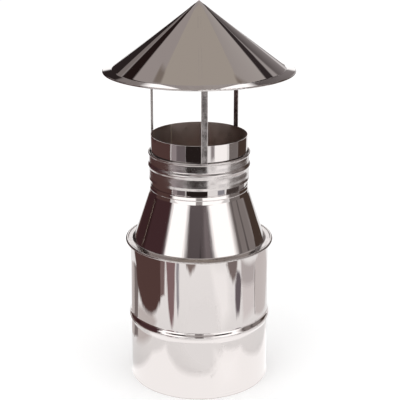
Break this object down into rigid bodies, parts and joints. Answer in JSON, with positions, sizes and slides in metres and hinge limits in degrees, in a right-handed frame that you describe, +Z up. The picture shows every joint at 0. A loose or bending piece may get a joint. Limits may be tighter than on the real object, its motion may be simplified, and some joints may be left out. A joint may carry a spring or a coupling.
{
  "type": "chimney rain cap",
  "caption": "Short twin-wall stainless flue section that narrows through a cone to an open neck, with a conical rain hat on flat legs held by a clamp band.",
  "frame": {"origin": "centre of the bottom rim, on the flue's axis", "axes": "+Z up along the flue towards the hat's apex; the front of the object faces -Y"},
  "size_m": [0.296, 0.296, 0.607],
  "materials": {
    "shell_steel": "mirror-polished stainless steel",
    "cone_steel": "mirror-polished stainless steel",
    "liner_steel": "bright stainless steel",
    "band_steel": "mirror-polished stainless steel",
    "hat_steel": "mirror-polished stainless steel",
    "leg_steel": "matte rolled stainless steel",
    "weld_bead": "weld metal",
    "fastener_steel": "satin stainless steel",
    "mineral_wool": "compressed mineral wool"
  },
  "bodies": {
    "terminal": {"outer_shell": "shell_steel", "shell_weld": "weld_bead", "cone_cover": "cone_steel", "cone_weld": "weld_bead", "flue_liner": "liner_steel", "liner_weld": "weld_bead", "retaining_ring": "liner_steel", "ring_welds": "weld_bead", "wool_left": "mineral_wool", "wool_right": "mineral_wool", "wool_cone": "mineral_wool"},
    "rain_cap": {"hat": "hat_steel", "hat_weld": "weld_bead", "leg_front": "leg_steel", "leg_right": "leg_steel", "leg_left": "leg_steel", "leg_welds": "weld_bead", "clamp_band": "band_steel", "clamp_bolt": "fastener_steel", "clamp_nut": "fastener_steel", "clamp_washers": "fastener_steel"}
  },
  "joints": [
    {"name": "cap_lift", "type": "slide", "parent": "terminal", "child": "rain_cap", "axis": [0, 0, 1], "range_m": [0, 0.12]}
  ]
}
